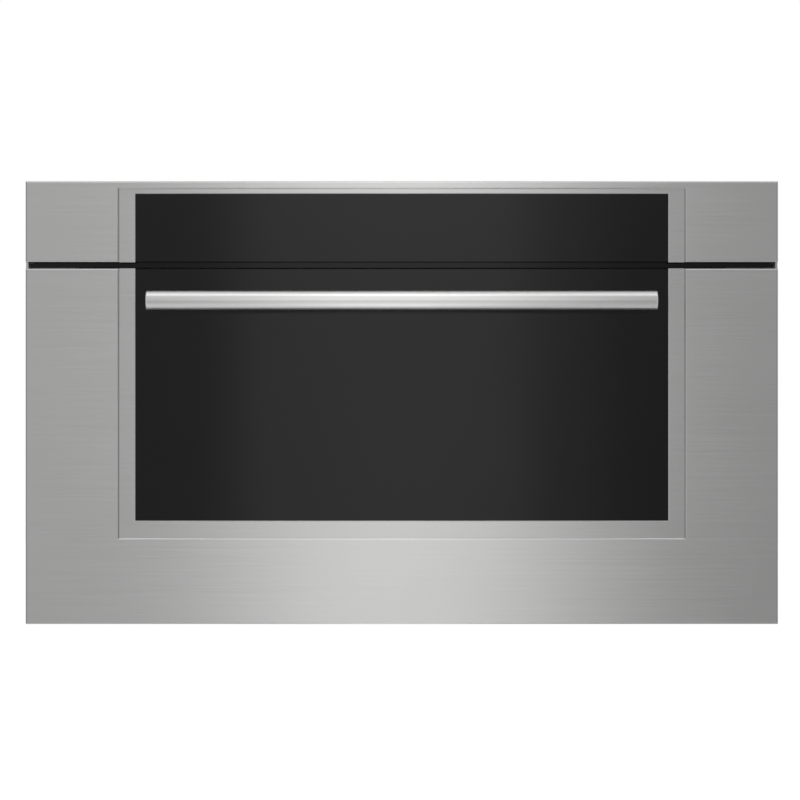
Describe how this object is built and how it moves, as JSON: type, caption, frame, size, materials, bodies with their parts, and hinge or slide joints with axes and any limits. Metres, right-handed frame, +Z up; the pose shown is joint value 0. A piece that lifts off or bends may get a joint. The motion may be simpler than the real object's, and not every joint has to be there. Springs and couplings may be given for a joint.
{
  "type": "built-in microwave oven",
  "caption": "Built-in microwave oven with a drop-down door, bar handle, black glass front, brushed steel frame, turntable and sprung door hinges.",
  "frame": {"origin": "middle of the width, on the rear face of the trim frame where it meets the cabinet, at the height of the shelf under the feet", "axes": "+X to the right seen from the front, +Y into the cabinet, +Z up; the door is on the -Y side"},
  "size_m": [0.759, 0.6435, 0.447],
  "materials": {
    "stainless": "brushed along the width",
    "bezel_steel": "brushed along the width",
    "handle_steel": "fine satin",
    "black_glass": "polished, printed black behind",
    "clear_glass": "clear",
    "frame_steel": "satin enamel",
    "door_inner_steel": "satin enamel",
    "cavity_steel": "satin",
    "galvanised": "zinc coated",
    "zinc": "zinc plated",
    "aluminium": "bare",
    "lamination": "varnished laminations",
    "copper": "enamelled wire",
    "spring_steel": "bare",
    "screen_steel": "black enamel, perforated",
    "black_plastic": "fine texture",
    "choke_plastic": "satin",
    "white_plastic": "moulded",
    "roller": "moulded",
    "switch_red": "moulded",
    "rubber": "matt",
    "mica": "mica sheet",
    "circuit_board": "solder mask",
    "lamp": "bulb in a steel shade"
  },
  "bodies": {
    "root": {"trim_frame": "stainless", "front_frame": "frame_steel", "outer_wrap": "galvanised", "rear_panel": "galvanised", "base_pan": "galvanised", "base_feet": "rubber", "chassis_screws": "zinc", "cord_gland": "black_plastic", "cavity_liner": "cavity_steel", "waveguide": "galvanised", "waveguide_cover": "mica", "magnetron": "aluminium", "transformer_core": "lamination", "transformer_windings": "copper", "hv_capacitor": "aluminium", "blower_housing": "galvanised", "blower_motor": "lamination", "air_duct": "galvanised", "cavity_lamp": "lamp", "turntable_motor": "zinc", "fascia_panel": "stainless", "fascia_bezel": "bezel_steel", "control_glass": "black_glass", "control_housing": "black_plastic", "control_board": "circuit_board", "display_module": "black_plastic", "vent_grille": "black_plastic", "interlock_brackets": "white_plastic", "door_switches": "black_plastic", "hinge_arms": "zinc", "hinge_receivers": "zinc"},
    "door": {"door_outer_panel": "stainless", "door_bezel": "bezel_steel", "door_glass": "black_glass", "glass_retainers": "zinc", "door_back_plate": "door_inner_steel", "choke_frame": "frame_steel", "choke_cover": "choke_plastic", "door_screen": "screen_steel", "door_inner_glass": "clear_glass", "door_strikers": "zinc", "door_bumpers": "rubber", "door_screws": "zinc", "handle_bar": "handle_steel", "handle_posts": "handle_steel", "handle_screws": "zinc", "hinge_channels": "zinc", "hinge_springs": "spring_steel"},
    "hinge_link_left": {"hinge_link_left": "zinc"},
    "hinge_link_right": {"hinge_link_right": "zinc"},
    "turntable": {"drive_coupler": "white_plastic", "glass_tray": "clear_glass"},
    "roller_ring": {"roller_ring": "white_plastic"},
    "roller_1": {"roller_1": "roller"},
    "roller_2": {"roller_2": "roller"},
    "roller_3": {"roller_3": "roller"},
    "switch_plunger_1": {"switch_plunger_1": "switch_red"},
    "switch_plunger_2": {"switch_plunger_2": "switch_red"},
    "switch_plunger_3": {"switch_plunger_3": "switch_red"},
    "blower_wheel": {"blower_wheel": "black_plastic"}
  },
  "joints": [
    {"name": "door_hinge", "type": "hinge", "parent": "root", "child": "door", "pos_m": [0, -0.0285, -0.001], "axis": [1, 0, 0], "range_deg": [0, 90], "stiffness_Nm_per_rad": 4, "springref_deg": -28.65, "deforming": ["hinge_springs"]},
    {"name": "hinge_link_left_pivot", "type": "hinge", "parent": "root", "child": "hinge_link_left", "pos_m": [-0.297, -0.02214, 0.00536], "axis": [1, 0, 0], "range_deg": [0, 90]},
    {"name": "hinge_link_right_pivot", "type": "hinge", "parent": "root", "child": "hinge_link_right", "pos_m": [0.297, -0.02214, 0.00536], "axis": [1, 0, 0], "range_deg": [0, 90]},
    {"name": "turntable_spin", "type": "hinge", "parent": "root", "child": "turntable", "pos_m": [0, 0.2, 0.1], "axis": [0, 0, 1], "continuous": true},
    {"name": "roller_ring_spin", "type": "hinge", "parent": "root", "child": "roller_ring", "pos_m": [0, 0.2, 0.0953], "axis": [0, 0, 1], "continuous": true},
    {"name": "blower_spin", "type": "hinge", "parent": "root", "child": "blower_wheel", "pos_m": [0.122, 0.5, 0.096], "axis": [0, 1, 0], "continuous": true},
    {"name": "roller_1_spin", "type": "hinge", "parent": "roller_ring", "child": "roller_1", "pos_m": [0.1185, 0.2, 0.0953], "axis": [1, 0, 0], "continuous": true},
    {"name": "roller_2_spin", "type": "hinge", "parent": "roller_ring", "child": "roller_2", "pos_m": [-0.05925, 0.30262, 0.0953], "axis": [-0.5, 0.866, 0], "continuous": true},
    {"name": "roller_3_spin", "type": "hinge", "parent": "roller_ring", "child": "roller_3", "pos_m": [-0.05925, 0.09738, 0.0953], "axis": [-0.5, -0.866, 0], "continuous": true},
    {"name": "switch_plunger_1_slide", "type": "slide", "parent": "root", "child": "switch_plunger_1", "axis": [0, 0, 1], "range_m": [0, 0.0012]},
    {"name": "switch_plunger_2_slide", "type": "slide", "parent": "root", "child": "switch_plunger_2", "axis": [0, 0, 1], "range_m": [0, 0.0012]},
    {"name": "switch_plunger_3_slide", "type": "slide", "parent": "root", "child": "switch_plunger_3", "axis": [0, 0, 1], "range_m": [0, 0.0012]}
  ],
  "couplings": [
    {"joint": "hinge_link_left_pivot", "follows": "door_hinge", "ratio": 1},
    {"joint": "hinge_link_right_pivot", "follows": "door_hinge", "ratio": 1},
    {"joint": "roller_ring_spin", "follows": "turntable_spin", "ratio": 0.5},
    {"joint": "roller_1_spin", "follows": "turntable_spin", "ratio": -6.5833},
    {"joint": "roller_2_spin", "follows": "turntable_spin", "ratio": -6.5833},
    {"joint": "roller_3_spin", "follows": "turntable_spin", "ratio": -6.5833},
    {"joint": "switch_plunger_1_slide", "follows": "door_hinge", "m_per_rad": 0.00076394},
    {"joint": "switch_plunger_2_slide", "follows": "door_hinge", "m_per_rad": 0.00076394},
    {"joint": "switch_plunger_3_slide", "follows": "door_hinge", "m_per_rad": 0.00076394}
  ]
}
